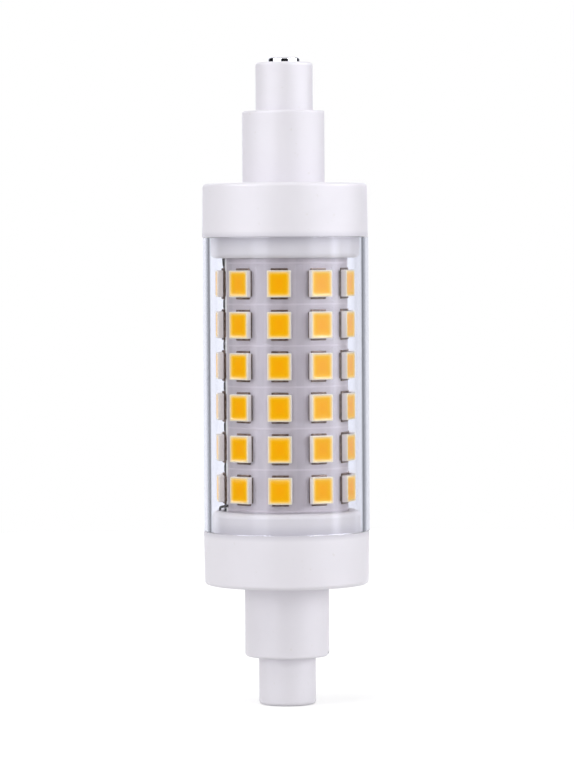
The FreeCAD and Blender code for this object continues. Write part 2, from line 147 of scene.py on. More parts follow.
# Floor
FLOOR_RADIUS = 280.0
FLOOR_SIDES = 72
FLOOR_TONE = 0.72
FLOOR_GLOW = 0.45

# Room levels, 1 for white: its soft light, and the plain parts overhead and below that gloss and glass see.
# An edge here and in the ring is (where it is 0, where it is full), in azimuth or as the sine of a height
ROOM_LIGHT = 0.62
ROOM_PLAIN = (0.9, 0.9, 0.92)
OVERHEAD = (0.55, 0.75)
BELOW = (-0.13, -0.17)

# The ring that gloss and glass see round the lamp. Azimuths are in degrees from the camera's side
RING_TINT = (1.0, 1.015, 1.11)
RING_LEAST = 0.01
RIGHT_HALF = (-20, 20)
BACKDROP_LEVELS = [
    (142, 0.04), (146, 0.25), (150.5, 0.84), (155, 0.88), (160, 0.86), (165, 0.93), (168, 1.02), (171, 1.12),
    (180, 1.2)]
BACKDROP_EDGE = (140, 142)
BACKDROP_RIGHT_FADE = 0.12
TABLE_LEVELS = [(106, 0.0), (120, 1.0), (134, 1.0), (138.5, 0.80), (141.5, 0.0), (180, 0.0)]
TABLE_TOP = (0.04, 0.0)
TABLE_RIGHT_FADE = 0.30
GAP_EDGES = ((137, 140), (152, 144))
GAP_LEVEL = 0.10
UPPER_RISE = (0.02, 0.20)
UPPER_LEVEL = 8.0
RIGHT_BOX_EDGES = ((27, 41), (113, 101))
RIGHT_BOX_RISE = (-0.115, 0.32)
RIGHT_BOX_LEVEL = 5.0
LEFT_BOX_EDGES = ((-18, -30), (-92, -76))
LEFT_BOX_RISE = (-0.026, 0.105)
LEFT_BOX_LEVEL = 2.2
RIGHT_STRIP_EDGES = ((64, 71), (84, 77))
RIGHT_STRIP_LEVEL = 1.3
LEFT_STRIP_EDGES = ((-22, -30), (-54, -44))
LEFT_STRIP_LEVEL = 0.65

# Lamps, in metres: name, azimuth, elevation, side and watts
LAMPS = [
    ("lamp_right", 62, 15, 0.30, 0.90),
    ("lamp_left", -62, 15, 0.30, 0.68),
    ("lamp_top", -35, 68, 0.40, 1.0),
    ("lamp_back", 180, 25, 0.40, 0.45),
]
LAMP_DISTANCE = 0.6
LAMP_AIM = (0, 0, 0.039)

# Plain finishes: name, colour, spread of tone, grains in a metre, depth of the grain and roughness
PLAIN_FINISHES = [
    ("white_insulation", (0.80, 0.80, 0.78), 0.04, 2500.0, 0.004, 0.5),
    ("dark_lead", (0.045, 0.043, 0.045), 0.25, 4000.0, 0.004, 0.45),
    ("board_margin", (0.93, 0.92, 0.94), 0.04, 3000.0, 0.003, 0.35),
    ("driver_laminate", (0.03, 0.17, 0.07), 0.15, 1500.0, 0.004, 0.4),
    ("black_moulding", (0.018, 0.018, 0.019), 0.3, 6000.0, 0.006, 0.55),
    ("capacitor_sleeve", (0.03, 0.05, 0.16), 0.1, 1200.0, 0.004, 0.3),
    ("film_box", (0.62, 0.44, 0.05), 0.08, 2500.0, 0.004, 0.45),
    ("resistor_coat", (0.10, 0.22, 0.34), 0.12, 3000.0, 0.008, 0.6),
]


# Mesh code

class Builder:
    """Collects points, faces, a material number per face and one value per point."""

    def __init__(self):
        self.points = []
        self.faces = []
        self.slots = []
        self.values = []

    def add_loop(self, points, value=0.0):
        """Adds a loop of points that share a value, and returns their numbers."""
        first = len(self.points)
        self.points.extend(points)
        self.values.extend([value] * len(points))
        return list(range(first, first + len(points)))

    def join(self, lower, upper):
        """Quads between two closed loops of the same length."""
        count = len(lower)
        for i in range(count):
            j = (i + 1) % count
            self.faces.append((lower[i], lower[j], upper[j], upper[i]))
            self.slots.append(0)

    def cap(self, loop, slot=0, flip=False):
        """One face over a loop."""
        self.faces.append(tuple(reversed(loop)) if flip else tuple(loop))
        self.slots.append(slot)

    def fan(self, loop, point):
        """Triangles from a loop to one point."""
        tip = self.add_loop([point])[0]
        count = len(loop)
        for i in range(count):
            self.faces.append((loop[i], loop[(i + 1) % count], tip))
            self.slots.append(0)

    def stack(self, loops):
        """Joins each loop to the next."""
        for lower, upper in zip(loops, loops[1:]):
            self.join(lower, upper)

    def close(self, loops):
        """Joins the loops and caps both ends."""
        self.stack(loops)
        self.cap(loops[0], flip=True)
        self.cap(loops[-1])

    def make(self, name, materials, sharp_angle=35.0, attribute=None):
        """The finished object, smooth but for edges sharper than an angle."""
        mesh = bpy.data.meshes.new(name)
        mesh.from_pydata([tuple(c * MM for c in p) for p in self.points], [], self.faces)
        for material in materials:
            mesh.materials.append(material)
        mesh.polygons.foreach_set("material_index", self.slots)
        mesh.polygons.foreach_set("use_smooth", [True] * len(self.faces))
        mesh.set_sharp_from_angle(angle=math.radians(sharp_angle))
        if attribute:
            layer = mesh.attributes.new(attribute, "FLOAT", "POINT")
            layer.data.foreach_set("value", self.values)
        turn_outward(mesh)
        piece = bpy.data.objects.new(name, mesh)
        bpy.context.scene.collection.objects.link(piece)
        return piece


def turn_outward(mesh):
    """Turns the faces of each closed shell outward."""
    shells = bmesh.new()
    shells.from_mesh(mesh)
    bmesh.ops.recalc_face_normals(shells, faces=shells.faces)
    shells.to_mesh(mesh)
    shells.free()


def on_lamp(across, up, outward, angle):
    """A point given across and outward from a front-facing piece that is turned round the lamp."""
    turn = math.radians(angle)
    x = outward * math.sin(turn) + across * math.cos(turn)
    y = -outward * math.cos(turn) + across * math.sin(turn)
    return (x, y, up)


def on_board(across, up, angle):
    """A point just off the round of the board."""
    outward = math.sqrt((BOARD_RADIUS + BOARD_LIFT) ** 2 - across ** 2)
    return on_lamp(across, up, outward, angle)


def rounded_rectangle(width, height, corner):
    """(across, up) points of a rounded rectangle, anticlockwise as seen from outside."""
    points = []
    corners = [(1, -1, -90), (1, 1, 0), (-1, 1, 90), (-1, -1, 180)]
    for side, level, start in corners:
        for step in range(CORNER_STEPS + 1):
            a = math.radians(start + 90 * step / CORNER_STEPS)
            points.append((
                side * (width / 2 - corner) + corner * math.cos(a),
                level * (height / 2 - corner) + corner * math.sin(a)))
    return points


def inset(size, distance):
    """A (width, height) that is drawn in by a distance on every side."""
    return (size[0] - 2 * distance, size[1] - 2 * distance)


def rectangle_loop(builder, size, corner, outward, angle, middle, value=0.0):
    """A rounded rectangle at a distance from the axis, as a loop of the builder."""
    points = [
        on_lamp(across, middle + up, outward, angle)
        for across, up in rounded_rectangle(size[0], size[1], corner)]
    return builder.add_loop(points, value)


def row_heights():
    return [FIRST_ROW + ROW_PITCH * row for row in range(ROWS)]


def column_angle(number):
    return FIRST_COLUMN_ANGLE + COLUMN_PITCH * (number - 1)


# Node code

class Nodes:
    """Short calls for building a node tree. A value is a number, an (r, g, b) or another node's output."""

    def __init__(self, tree):
        self.tree = tree

    def node(self, kind, **settings):
        made = self.tree.nodes.new(kind)
        for key, value in settings.items():
            setattr(made, key, value)
        return made

    def link(self, source, target):
        self.tree.links.new(source, target)

    def feed(self, socket, value):
        if isinstance(value, (int, float)):
            socket.default_value = value
        elif isinstance(value, tuple):
            socket.default_value = (*value, 1)
        else:
            self.link(value, socket)

    def math(self, operation, first, second=None, clamp=False):
        made = self.node("ShaderNodeMath", operation=operation, use_clamp=clamp)
        self.feed(made.inputs[0], first)
        if second is not None:
            self.feed(made.inputs[1], second)
        return made.outputs[0]

    def product(self, *values):
        result = values[0]
        for value in values[1:]:
            result = self.math("MULTIPLY", result, value)
        return result

    def total(self, *values):
        result = values[0]
        for value in values[1:]:
            result = self.math("ADD", result, value)
        return result

    def split(self, vector):
        made = self.node("ShaderNodeSeparateXYZ")
        self.link(vector, made.inputs[0])
        return made.outputs

    def smooth_step(self, value, start, end, low=0.0, high=1.0):
        """From low at start to high at end, smooth between. Start may be the larger number."""
        made = self.node("ShaderNodeMapRange", interpolation_type="SMOOTHSTEP")
        for socket, number in zip(made.inputs[1:5], (start, end, low, high)):
            socket.default_value = number
        self.link(value, made.inputs[0])
        return made.outputs[0]

    def between(self, value, first_edge, last_edge):
        """1 between two soft edges, each given as where it is 0 and where it is 1."""
        return self.product(self.smooth_step(value, *first_edge), self.smooth_step(value, *last_edge))

    def ramp(self, value, stops, interpolation="EASE"):
        """Colours along a value. stops are (place, (r, g, b))."""
        made = self.node("ShaderNodeValToRGB")
        made.color_ramp.interpolation = interpolation
        elements = made.color_ramp.elements
        while len(elements) < len(stops):
            elements.new(0.5)
        for element, (place, color) in zip(elements, stops):
            element.position = place
            element.color = (*color, 1)
        self.link(value, made.inputs[0])
        return made.outputs[0]

    def mix(self, factor, first, second):
        """The first colour where the factor is 0, the second where it is 1."""
        made = self.node("ShaderNodeMix", data_type="RGBA")
        for socket, value in ((made.inputs[0], factor), (made.inputs[6], first), (made.inputs[7], second)):
            self.feed(socket, value)
        return made.outputs[2]


class Shader(Nodes):
    """A material's nodes, round its Principled shader."""

    def __init__(self, name, color=None, **numbers):
        self.material = bpy.data.materials.new(name)
        self.material.use_nodes = True
        super().__init__(self.material.node_tree)
        self.shader = self.tree.nodes["Principled BSDF"]
        self.output = self.tree.nodes["Material Output"]
        if color:
            self.shader.inputs["Base Color"].default_value = (*color, 1)
        for socket, value in numbers.items():
            self.shader.inputs[socket.replace("_", " ")].default_value = value

    def place(self):
        """The point on the lamp, in the lamp's own frame."""
        return self.node("ShaderNodeTexCoord").outputs["Object"]

    def stretched(self, vector, scale):
        made = self.node("ShaderNodeMapping")
        made.inputs["Scale"].default_value = scale
        self.link(vector, made.inputs["Vector"])
        return made.outputs[0]

    def noise(self, vector, scale, detail=3.0, roughness=0.5):
        made = self.node("ShaderNodeTexNoise")
        made.inputs["Scale"].default_value = scale
        made.inputs["Detail"].default_value = detail
        made.inputs["Roughness"].default_value = roughness
        self.link(vector, made.inputs["Vector"])
        return made.outputs["Fac"]

    def attribute(self, name):
        return self.node("ShaderNodeAttribute", attribute_name=name).outputs["Fac"]

    def color(self, source):
        self.link(source, self.shader.inputs["Base Color"])

    def roughness(self, source, least, most):
        """Roughness between two numbers, by the middle part of a noise."""
        self.link(self.smooth_step(source, 0.3, 0.7, least, most), self.shader.inputs["Roughness"])

    def bump(self, height, distance, strength=1.0):
        """Relief. The distance is in millimetres."""
        made = self.node("ShaderNodeBump")
        made.inputs["Strength"].default_value = strength
        made.inputs["Distance"].default_value = distance * MM
        self.link(height, made.inputs["Height"])
        self.link(made.outputs[0], self.shader.inputs["Normal"])


# Materials

def speckled(name, color, spread, scale, bump, roughness):
    """A plain moulded or coated finish with a fine grain in colour, roughness and surface."""
    s = Shader(name, Roughness=roughness)
    grain = s.noise(s.place(), scale)
    dark = tuple(c * (1 - spread) for c in color)
    light = tuple(min(1.0, c * (1 + spread)) for c in color)
    s.color(s.ramp(grain, [(0.3, dark), (0.7, light)]))
    s.roughness(grain, roughness * 0.9, roughness * 1.1)
    s.bump(grain, bump)
    return s.material


def ceramic():
    """Pressed white ceramic: satin, a little cool, with a fine grain and a few faint marks.

    It is darker close to the joint where the tube's end sits on it: a painted shade, as less light gets into
    the gap.
    """
    tones = [(0.35, (0.797, 0.774, 0.826)), (0.65, (0.815, 0.792, 0.844))]
    mark_tone = (0.70, 0.67, 0.66)
    joint_shade_tone = (0.665, 0.645, 0.705)
    shade_inside = 1.6 * MM
    shade_outside = 0.8 * MM
    s = Shader("white_ceramic", Roughness=0.42, IOR=1.5)
    place = s.place()
    cloud = s.noise(place, scale=160.0, detail=2.0)
    grain = s.noise(place, scale=4200.0, detail=3.0, roughness=0.6)
    marks = s.smooth_step(s.noise(place, scale=1500.0, detail=1.0), 0.70, 0.80)
    marked = s.mix(s.product(marks, 0.35), s.ramp(cloud, tones), mark_tone)
    middle = (TUBE_LOW + TUBE_HIGH) / 2 * MM
    joint = (TUBE_HIGH - TUBE_LOW) / 2 * MM
    height = s.split(place)[2]
    from_middle = s.math("ABSOLUTE", s.math("SUBTRACT", height, middle))
    # Painted shade: darker on both sides of the joint where the tube's end sits
    painted_joint_shade = s.between(from_middle, (joint - shade_inside, joint), (joint + shade_outside, joint))
    s.color(s.mix(painted_joint_shade, marked, joint_shade_tone))
    s.roughness(grain, 0.38, 0.50)
    s.bump(grain, 0.004, 0.6)
    return s.material


def clear_glass():
    """Clear glass. Its outside is darker in a narrow band of slants, where the wall's edge shows: a painted
    shade in the glass's colour.

    Lamps and soft light pass through it.
    """
    clear = (0.965, 0.970, 0.990)
    edge_shade_tone = (0.40, 0.42, 0.46)
    least_slant = (0.56, 0.61)
    most_slant = (0.73, 0.67)
    s = Shader("clear_glass", Roughness=0.0, IOR=1.5, Transmission_Weight=1.0)
    facing = s.node("ShaderNodeLayerWeight").outputs["Facing"]
    # Painted shade: the glass's colour is darkened in a band of slants and stands for the wall's dark edge
    # line
    painted_edge_shade = s.between(facing, least_slant, most_slant)
    x, y, _ = s.split(s.place())
    from_axis = s.math("SQRT", s.total(s.product(x, x), s.product(y, y)))
    outside = s.math("GREATER_THAN", from_axis, (TUBE_RADIUS + TUBE_BORE) / 2 * MM)
    s.color(s.mix(s.product(painted_edge_shade, outside), clear, edge_shade_tone))
    unbent = s.node("ShaderNodeBsdfTransparent")
    unbent.inputs[0].default_value = (0.99, 0.99, 0.99, 1)
    paths = s.node("ShaderNodeLightPath")
    passing = s.math("MAXIMUM", paths.outputs["Is Shadow Ray"], paths.outputs["Is Diffuse Ray"])
    either = s.node("ShaderNodeMixShader")
    s.link(passing, either.inputs[0])
    s.link(s.shader.outputs[0], either.inputs[1])
    s.link(unbent.outputs[0], either.inputs[2])
    s.link(either.outputs[0], s.output.inputs["Surface"])
    return s.material


def board_mask():
    """White solder mask on the rolled board: faint upright streaks, tracks under it, a line between rows."""
    tones = [(0.36, (0.465, 0.427, 0.478)), (0.50, (0.507, 0.464, 0.521)), (0.64, (0.550, 0.509, 0.560))]
    line_tone = (0.76, 0.70, 0.77)
    track_tone = (0.70, 0.64, 0.70)
    line_edge = (0.030, 0.012)
    track_edge = (0.085, 0.105)
    s = Shader("board_mask", Roughness=0.45, IOR=1.8)
    place = s.place()
    streaks = s.noise(s.stretched(place, (900.0, 900.0, 60.0)), scale=1.0, detail=3.0, roughness=0.6)
    patches = s.noise(place, scale=380.0, detail=2.0)
    base = s.ramp(s.total(s.product(streaks, 0.6), s.product(patches, 0.4)), tones)

    # Lines halfway between rows, and tracks under the columns, with a gap halfway between them
    x, y, z = s.split(place)
    row = s.math("FRACT", s.math("DIVIDE", s.math("SUBTRACT", z, FIRST_ROW * MM), ROW_PITCH * MM))
    line = s.smooth_step(s.math("ABSOLUTE", s.math("SUBTRACT", row, 0.5)), *line_edge)
    angle = s.math("ARCTAN2", x, s.product(y, -1.0))
    turned = s.math("SUBTRACT", angle, math.radians(FIRST_COLUMN_ANGLE))
    column = s.math("FRACT", s.math("DIVIDE", turned, math.radians(COLUMN_PITCH)))
    track = s.smooth_step(s.math("ABSOLUTE", s.math("SUBTRACT", column, 0.5)), *track_edge)
    lined = s.mix(s.product(line, 0.35), base, line_tone)
    s.color(s.mix(s.product(track, 0.22), lined, track_tone))
    grain = s.noise(place, scale=5200.0, detail=2.0)
    s.bump(s.total(s.product(line, 0.8), s.product(track, 0.6), s.product(grain, 0.25)), 0.012, 0.8)
    s.roughness(streaks, 0.38, 0.52)
    return s.material


def package_white():
    """Moulded white package: cream next to its window, where the fill shines through the thin frame."""
    tones = [
        (0.0, (0.92, 0.85, 0.85)), (0.28, (0.97, 0.90, 0.83)), (0.42, (0.99, 0.90, 0.70)),
        (0.75, (0.99, 0.79, 0.46)), (1.0, (0.99, 0.68, 0.26))]
    grain_tone = (0.62, 0.58, 0.58)
    s = Shader("package_white", Roughness=0.38, IOR=1.52)
    grain = s.noise(s.place(), scale=5200.0, detail=2.0)
    s.color(s.mix(s.product(grain, 0.10), s.ramp(s.attribute("near_window"), tones), grain_tone))
    s.bump(grain, 0.004, 0.5)
    return s.material


def yellow_phosphor():
    """Phosphor in clear silicone: deep yellow, paling to cream at its rim, with a fine powder grain. It
    glows faintly though the lamp is off: painted light.
    """
    tones = [
        (0.0, (0.99, 0.420, 0.001)), (0.30, (0.98, 0.450, 0.001)), (0.60, (0.97, 0.475, 0.002)),
        (0.78, (0.97, 0.530, 0.03)), (0.90, (0.98, 0.61, 0.12)), (1.0, (0.99, 0.70, 0.28))]
    grain_tone = (0.92, 0.36, 0.001)
    s = Shader("yellow_phosphor", Roughness=0.10, IOR=1.41)
    place = s.place()
    grain = s.noise(place, scale=9000.0, detail=3.0, roughness=0.7)
    cloud = s.noise(place, scale=900.0, detail=2.0)
    wander = s.product(s.math("SUBTRACT", cloud, 0.5), 0.10)
    near_rim = s.math("ADD", s.attribute("rim"), wander, clamp=True)
    color = s.mix(s.product(grain, 0.08), s.ramp(near_rim, tones, "LINEAR"), grain_tone)
    s.color(color)
    # Painted light: a faint glow in the phosphor's own colour, though the lamp is off
    s.link(color, s.shader.inputs["Emission Color"])
    s.shader.inputs["Emission Strength"].default_value = 0.17
    s.bump(grain, 0.002, 0.5)
    return s.material


def tinned_terminal():
    """Dull tin with a brown cast, painted much darker than tin: painted shade and a painted dark reflection,
    for the dark lines at the packages' ends.
    """
    s = Shader("tinned_terminal", Metallic=0.5, Roughness=0.45)
    grain = s.noise(s.place(), scale=3000.0)
    # Painted shade: the tin's tones are near black
    s.color(s.ramp(grain, [(0.3, (0.100, 0.066, 0.050)), (0.7, (0.26, 0.190, 0.155))]))
    s.roughness(grain, 0.35, 0.6)
    s.bump(grain, 0.01, 0.6)
    return s.material


def contact_metal():
    """Bright nickel plate with fine turning marks."""
    s = Shader("contact_metal", color=(0.80, 0.80, 0.82), Metallic=1.0, Roughness=0.09)
    rings = s.noise(s.stretched(s.place(), (300.0, 300.0, 9000.0)), scale=1.0, detail=2.0)
    s.roughness(rings, 0.06, 0.14)
    s.bump(rings, 0.001, 0.4)
    return s.material


def aluminium():
    """Drawn aluminium with fine upright lines."""
    s = Shader("core_aluminium", Metallic=1.0, Roughness=0.35)
    lines = s.noise(s.stretched(s.place(), (7000.0, 7000.0, 120.0)), scale=1.0, detail=2.0)
    s.color(s.ramp(lines, [(0.3, (0.70, 0.71, 0.72)), (0.7, (0.80, 0.81, 0.82))]))
    s.roughness(lines, 0.28, 0.42)
    return s.material


def wound_ferrite():
    """Ferrite drum with enamelled copper wound in its waist. Each turn is painted bright along its middle
    and dark at its sides: painted highlight and shade of the round wire.
    """
    wire_pitch = 0.18
    waist_start = (-3.52 * MM, -3.48 * MM)
    waist_end = (-0.28 * MM, -0.32 * MM)
    ferrite = (0.045, 0.045, 0.05)
    # Painted highlight and shade: each turn goes dark, bright, dark across the wire
    copper_tones_painted_round = [(0.0, (0.16, 0.045, 0.015)), (0.5, (0.58, 0.22, 0.08)), (1.0, (0.16, 0.045, 0.015))]
    s = Shader("ferrite", Roughness=0.6)
    along = s.split(s.place())[1]
    turns = s.math("FRACT", s.math("DIVIDE", along, wire_pitch * MM))
    wound = s.between(along, waist_start, waist_end)
    s.color(s.mix(wound, ferrite, s.ramp(turns, copper_tones_painted_round)))
    s.bump(s.product(turns, wound), 0.03, 0.5)
    return s.material


def make_materials():
    """Every material by its slot in the record, and the board's margin."""
    materials = {name: speckled(name, *finish) for name, *finish in PLAIN_FINISHES}
    materials.update({
        "white_ceramic": ceramic(),
        "clear_glass": clear_glass(),
        "contact_metal": contact_metal(),
        "core_aluminium": aluminium(),
        "board_mask": board_mask(),
        "ferrite": wound_ferrite(),
        "package_white": package_white(),
        "yellow_phosphor": yellow_phosphor(),
        "tinned_terminal": tinned_terminal(),
    })
    return materials


def dress_nodes(materials):
    """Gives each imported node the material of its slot."""
    slots = {entry["node"]: entry["material_slot"] for entry in frame["record"]["subparts"]}
    for name, node in frame["nodes"].items():
        material = materials[slots[name]]
        if not node.material_slots:
            node.data.materials.append(material)
        for slot in node.material_slots:
            slot.material = material


# Pieces that are finer than the solids

def settle(piece, slot, *nodes):
    """Puts a finished piece on the body and hides the nodes that it stands for. Its slot is not used."""
    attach(piece, BODY)
    if nodes:
        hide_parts(*nodes)
    return piece


def tube_section():
    """(radius, height) points round the tube's wall.

    A point close to each rounded edge keeps the walls' shading normals level.
    """
    section = []
    corners = [
        (TUBE_BORE, TUBE_LOW, 1, 1, 180), (TUBE_RADIUS, TUBE_LOW, -1, 1, 270),
        (TUBE_RADIUS, TUBE_HIGH, -1, -1, 0), (TUBE_BORE, TUBE_HIGH, 1, -1, 90)]
    for radius, height, inward, upward, start in corners:
        rounding = []
        for step in range(TUBE_EDGE_STEPS + 1):
            a = math.radians(start + 90 * step / TUBE_EDGE_STEPS)
            rounding.append((
                radius + TUBE_EDGE * inward + TUBE_EDGE * math.cos(a),
                height + TUBE_EDGE * upward + TUBE_EDGE * math.sin(a)))
        support = (radius, height + (TUBE_EDGE + TUBE_EDGE_SUPPORT) * upward)
        on_wall_first = inward == upward
        section.extend([support] + rounding if on_wall_first else rounding + [support])
    return section


def clear_tube(materials):
    """The clear tube with fire-polished ends, round enough to refract without facets."""
    section = tube_section()
    builder = Builder()
    loops = []
    for segment in range(TUBE_SEGMENTS):
        a = 2 * math.pi * segment / TUBE_SEGMENTS
        loops.append(builder.add_loop([
            (radius * math.sin(a) + TUBE_SHIFT, -radius * math.cos(a), height)
            for radius, height in section]))
    builder.stack(loops + loops[:1])
    piece = builder.make("tube", [materials["clear_glass"]], sharp_angle=80.0)
    return settle(piece, "clear_glass", "clear_tube")


def package(builder, angle, middle):
    """One moulded package with rounded edges and a sloping window. Its values say how near the window is."""
    outer = (PACKAGE_WIDTH, PACKAGE_HEIGHT)
    mouth = inset(outer, WINDOW_FRAME)
    face = PACKAGE_FACE
    steps = [
        (inset(outer, UNDERCUT), PACKAGE_CORNER, PACKAGE_BASE, 0.0),
        (outer, PACKAGE_CORNER, PACKAGE_BASE + UNDERCUT_RISE, 0.0),
        (outer, PACKAGE_CORNER, PACKAGE_BASE + DRAFT_FROM, 0.06),
        (inset(outer, DRAFT), PACKAGE_CORNER, face - PACKAGE_EDGE, 0.22),
        (inset(outer, PACKAGE_EDGE / 2), PACKAGE_CORNER, face - PACKAGE_EDGE_DROP, 0.32),
        (inset(outer, PACKAGE_EDGE), PACKAGE_CORNER, face, 0.45),
        (inset(mouth, -WINDOW_LIP), WINDOW_CORNER, face, 0.9),
        (mouth, WINDOW_CORNER, face - WINDOW_LIP_DROP, 1.0),
        (inset(mouth, WINDOW_SLOPE), WINDOW_CORNER, face - WINDOW_DEPTH, 1.0),
    ]
    builder.close([
        rectangle_loop(builder, size, corner, outward, angle, middle, value)
        for size, corner, outward, value in steps])


def fill(builder, angle, middle):
    """The phosphor in one window, drawn up a little at its rim. Its values say how near the rim is."""
    mouth = inset((PACKAGE_WIDTH, PACKAGE_HEIGHT), WINDOW_FRAME + FILL_CLEARANCE)
    bottom = PACKAGE_FACE - WINDOW_DEPTH + FILL_CLEARANCE
    rim = PACKAGE_FACE - FILL_RIM_DROP
    loops = [rectangle_loop(builder, inset(mouth, WINDOW_SLOPE), WINDOW_CORNER, bottom, angle, middle, 1.0)]
    for distance, drop in FILL_PROFILE:
        size = inset(mouth, distance)
        corner = max(FILL_CORNER_LEAST, WINDOW_CORNER - distance * FILL_CORNER_SHRINK)
        corner = min(corner, size[0] / 2 - FILL_CORNER_ROOM)
        near_rim = max(0.0, 1.0 - distance / FILL_FADE)
        loops.append(rectangle_loop(builder, size, corner, rim - drop, angle, middle, near_rim))
    builder.stack(loops)
    builder.cap(loops[0], flip=True)
    builder.fan(loops[-1], on_lamp(0, middle, rim - FILL_MIDDLE_DROP, angle))


def terminal(builder, angle, middle):
    """One soldered terminal whose foot follows the round of the board."""
    size = (TERMINAL_WIDTH, TERMINAL_LENGTH)
    outline = rounded_rectangle(*size, TERMINAL_CORNER)
    loops = [builder.add_loop([on_board(across, middle + up, angle) for across, up in outline])]
    top = PACKAGE_BASE - TERMINAL_TO_PACKAGE
    for distance, drop in TERMINAL_PROFILE:
        drawn_in = inset(size, distance)
        loops.append(rectangle_loop(builder, drawn_in, TERMINAL_CORNER, top - drop, angle, middle))
    builder.close(loops)


def pad_outline():
    """(across, up) points of the pad and its solder, with a notch round each terminal."""
    in_notch, notch_end = PAD_NOTCH
    corner = [(in_notch, notch_end), (in_notch, PAD_REACH), (PAD_OUT, PAD_REACH)]
    points = []
    for side, level in ((1, -1), (1, 1), (-1, 1), (-1, -1)):
        turned = corner if side * level < 0 else corner[::-1]
        points.extend((side * across, level * up) for across, up in turned)
    return points


def pad(builder, angle, middle):
    """The metal heat pad and solder under one package, down to the round of the board. It takes the
    terminals' dark finish, so its side shows as a painted shade in the gap under the package's edge.
    """
    outline = pad_outline()
    top = PACKAGE_BASE + PAD_INTO_PACKAGE
    builder.close([
        builder.add_loop([on_board(across, middle + up, angle) for across, up in outline]),
        builder.add_loop([on_lamp(across, middle + up, top, angle) for across, up in outline])])


def led_columns(materials):
    """The ten columns: packages, fills, and terminals with their pads."""
    reach = PACKAGE_HEIGHT / 2 + TERMINAL_BEYOND_BODY - TERMINAL_LENGTH / 2
    for number in range(1, COLUMNS + 1):
        angle = column_angle(number)
        packages = Builder()
        fills = Builder()
        terminals = Builder()
        for middle in row_heights():
            package(packages, angle, middle)
            fill(fills, angle, middle)
            pad(terminals, angle, middle)
            terminal(terminals, angle, middle - reach)
            terminal(terminals, angle, middle + reach)
        made = packages.make(f"packages_{number}", [materials["package_white"]], 30.0, "near_window")
        settle(made, "package_white", f"led_column_{number}")
        made = fills.make(f"phosphor_{number}", [materials["yellow_phosphor"]], 50.0, "rim")
        settle(made, "yellow_phosphor", f"phosphor_column_{number}")
        made = terminals.make(f"terminals_{number}", [materials["tinned_terminal"]], 40.0)
        settle(made, "tinned_terminal", f"led_terminals_{number}")


def seam_rise(height):
    """How far the cut edge stands up: none beside a row of packages, more under the upper cap."""
    from_row = min(abs(height - row) for row in row_heights())
    beside = (from_row - PACKAGE_HEIGHT / 2 - TERMINAL_BEYOND_BODY) / SEAM_RAMP
    lift_from = COLLAR_HIGH - SEAM_LIFT_LENGTH
    lift = SEAM_LIFT * max(0.0, (height - lift_from) / SEAM_LIFT_LENGTH)
    return SEAM_STAND * min(max(beside, 0.0), 1.0) + lift


def seam_edge(materials):
    """The bare margin and the raised cut edge beside the rolled board's seam. The cut edge takes the
    near-black lead finish: a painted shade for the gap at the seam.
    """
    low = COLLAR_LOW + SEAM_TO_COLLAR
    high = COLLAR_HIGH - SEAM_TO_COLLAR
    inner_radius = BOARD_RADIUS + SEAM_INNER
    outer_radius = BOARD_RADIUS + SEAM_OUTER
    builder = Builder()
    loops = []
    for step in range(SEAM_STEPS + 1):
        height = low + (high - low) * step / SEAM_STEPS
        raised_radius = outer_radius + seam_rise(height)
        outer = [on_lamp(0, height, outer_radius, angle) for angle in MARGIN_ANGLES]
        outer += [on_lamp(0, height, raised_radius, angle) for angle in CUT_EDGE_ANGLES]
        inner = [on_lamp(0, height, inner_radius, angle) for angle in MARGIN_ANGLES + CUT_EDGE_ANGLES]
        loops.append(builder.add_loop(outer + inner[::-1]))
    builder.stack(loops)

    # The first sides of each round and its last are the margin's
    sides = len(loops[0])
    on_margin = [side < len(MARGIN_ANGLES) - 1 or side == sides - 1 for side in range(sides)]
    builder.slots = [0 if margin else 1 for margin in on_margin] * SEAM_STEPS
    builder.cap(loops[0], 1, flip=True)
    builder.cap(loops[-1], 1)
    # Painted shade: the cut edge is near black
    piece = builder.make("seam_edge", [materials["board_margin"], materials["dark_lead"]], 40.0)
    return settle(piece, "board_mask")


# Studio

def add_camera():
    data = bpy.data.cameras.new("camera")
    data.lens = CAMERA_LENS
    data.sensor_width = SENSOR_WIDTH
    data.clip_start = CAMERA_NEAR
    data.clip_end = CAMERA_FAR
    camera = bpy.data.objects.new("camera", data)
    pitch = math.radians(CAMERA_PITCH)
    roll = math.radians(CAMERA_ROLL)
    ahead = Vector((0, math.cos(pitch), -math.sin(pitch)))
    level = Vector((1, 0, 0))
    above = level.cross(ahead)
    right = level * math.cos(roll) + above * math.sin(roll)
    up = above * math.cos(roll) - level * math.sin(roll)
    turned = Matrix((right, up, -ahead)).transposed().to_4x4()
    camera.matrix_world = Matrix.Translation(Vector(CAMERA_PLACE) * MM) @ turned
    bpy.context.scene.collection.objects.link(camera)
    bpy.context.scene.camera = camera


def add_floor():
    """A plain round white floor that keeps the lamp's shadow."""
    s = Shader("floor_white", color=(FLOOR_TONE,) * 3, Roughness=0.9)
    s.shader.inputs["Specular IOR Level"].default_value = 0.0
    s.shader.inputs["Emission Color"].default_value = (1, 1, 1, 1)
    paths = s.node("ShaderNodeLightPath").outputs
    sharp = s.math("MAXIMUM", paths["Is Glossy Ray"], paths["Is Transmission Ray"])
    seen = s.math("MAXIMUM", paths["Is Camera Ray"], sharp)
    direct = s.math("LESS_THAN", paths["Diffuse Depth"], 0.5)
    s.link(s.product(seen, direct, FLOOR_GLOW), s.shader.inputs["Emission Strength"])
    builder = Builder()
    turn = 360 / FLOOR_SIDES
    loop = builder.add_loop([on_lamp(0, 0, FLOOR_RADIUS, turn * step) for step in range(FLOOR_SIDES)])
    builder.cap(loop)
    floor = builder.make("floor", [s.material])


